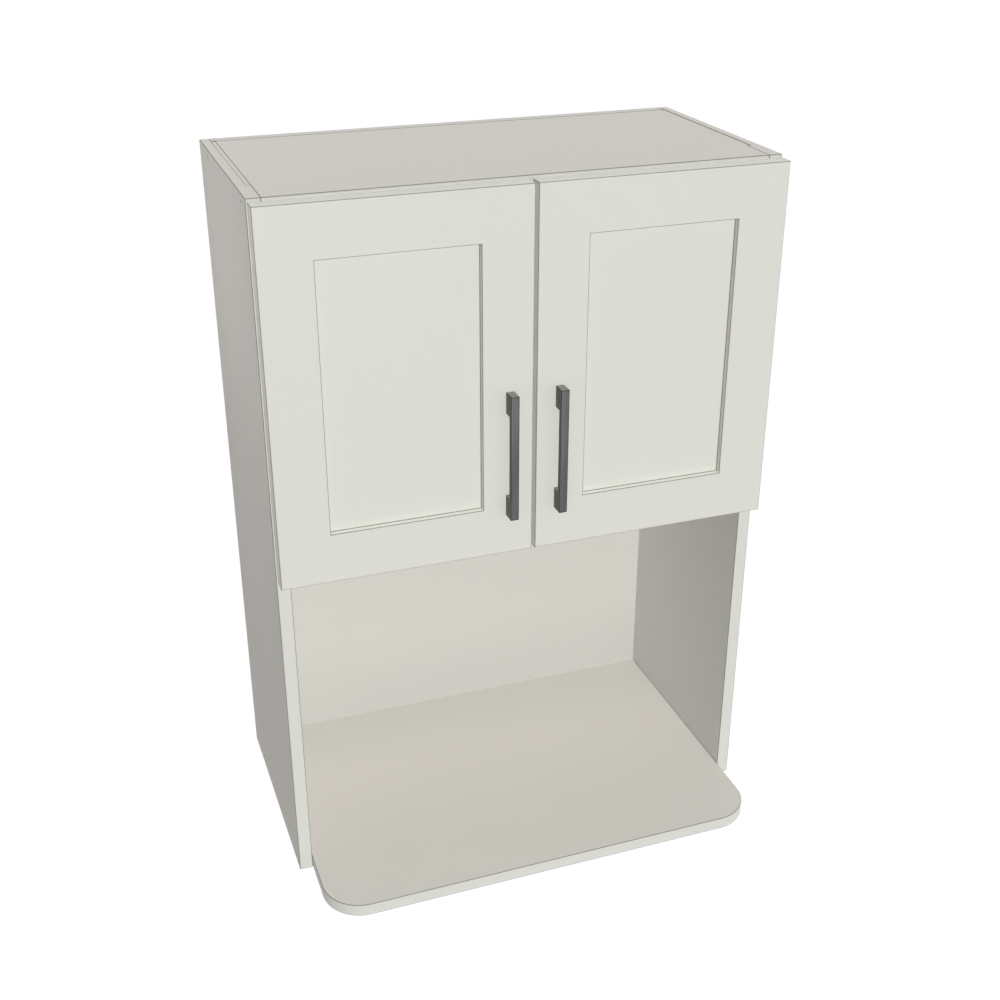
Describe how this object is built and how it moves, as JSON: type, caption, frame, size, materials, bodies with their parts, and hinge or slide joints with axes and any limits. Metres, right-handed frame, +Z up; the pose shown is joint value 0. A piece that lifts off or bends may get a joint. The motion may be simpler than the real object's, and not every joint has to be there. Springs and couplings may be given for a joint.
{
  "type": "microwave wall cabinet",
  "caption": "Painted wall cabinet: cupboard with framed double doors and bar pulls above an open microwave nook with a projecting round-cornered shelf.",
  "frame": {"origin": "on the back panel's rear face, on the centre line, 60 mm below the top: the height where the cabinet hangs on the wall", "axes": "+X to the right as seen from the room, +Y into the wall, +Z up"},
  "size_m": [0.61, 0.408, 0.863],
  "materials": {
    "carcass_paint": "satin off-white paint on board",
    "door_paint": "satin off-white paint on board",
    "pull_metal": "dark grey, satin",
    "hinge_steel": "nickel plated",
    "pin_steel": "nickel plated",
    "screw_steel": "zinc plated"
  },
  "bodies": {
    "cabinet": {"adjustable_shelf": "carcass_paint", "back_panel": "carcass_paint", "fixed_shelf": "carcass_paint", "hinge_arm_left_lower": "hinge_steel", "hinge_arm_left_upper": "hinge_steel", "hinge_arm_right_lower": "hinge_steel", "hinge_arm_right_upper": "hinge_steel", "hinge_plate_left_lower": "hinge_steel", "hinge_plate_left_upper": "hinge_steel", "hinge_plate_right_lower": "hinge_steel", "hinge_plate_right_upper": "hinge_steel", "microwave_shelf": "carcass_paint", "shelf_pin_left_front": "pin_steel", "shelf_pin_left_rear": "pin_steel", "shelf_pin_right_front": "pin_steel", "shelf_pin_right_rear": "pin_steel", "side_panel_left": "carcass_paint", "side_panel_right": "carcass_paint", "side_screw_left_back_bottom": "screw_steel", "side_screw_left_back_middle": "screw_steel", "side_screw_left_back_top": "screw_steel", "side_screw_left_bottom_front": "screw_steel", "side_screw_left_bottom_rear": "screw_steel", "side_screw_left_middle_front": "screw_steel", "side_screw_left_middle_rear": "screw_steel", "side_screw_left_top_front": "screw_steel", "side_screw_left_top_rear": "screw_steel", "side_screw_right_back_bottom": "screw_steel", "side_screw_right_back_middle": "screw_steel", "side_screw_right_back_top": "screw_steel", "side_screw_right_bottom_front": "screw_steel", "side_screw_right_bottom_rear": "screw_steel", "side_screw_right_middle_front": "screw_steel", "side_screw_right_middle_rear": "screw_steel", "side_screw_right_top_front": "screw_steel", "side_screw_right_top_rear": "screw_steel", "top_panel": "carcass_paint"},
    "door_left": {"door_left_bottom_rail": "door_paint", "door_left_hinge_stile": "door_paint", "door_left_meeting_stile": "door_paint", "door_left_panel": "door_paint", "door_left_top_rail": "door_paint", "hinge_cup_left_lower": "hinge_steel", "hinge_cup_left_upper": "hinge_steel", "pull_left": "pull_metal", "pull_screw_left_lower": "screw_steel", "pull_screw_left_upper": "screw_steel"},
    "door_right": {"door_right_bottom_rail": "door_paint", "door_right_hinge_stile": "door_paint", "door_right_meeting_stile": "door_paint", "door_right_panel": "door_paint", "door_right_top_rail": "door_paint", "hinge_cup_right_lower": "hinge_steel", "hinge_cup_right_upper": "hinge_steel", "pull_right": "pull_metal", "pull_screw_right_lower": "screw_steel", "pull_screw_right_upper": "screw_steel"}
  },
  "joints": [
    {"name": "door_left_swing", "type": "hinge", "parent": "cabinet", "child": "door_left", "pos_m": [-0.296, -0.3125, -0.162], "axis": [0, 0, -1], "range_deg": [0, 95]},
    {"name": "door_right_swing", "type": "hinge", "parent": "cabinet", "child": "door_right", "pos_m": [0.296, -0.3125, -0.162], "axis": [0, 0, 1], "range_deg": [0, 95]}
  ]
}
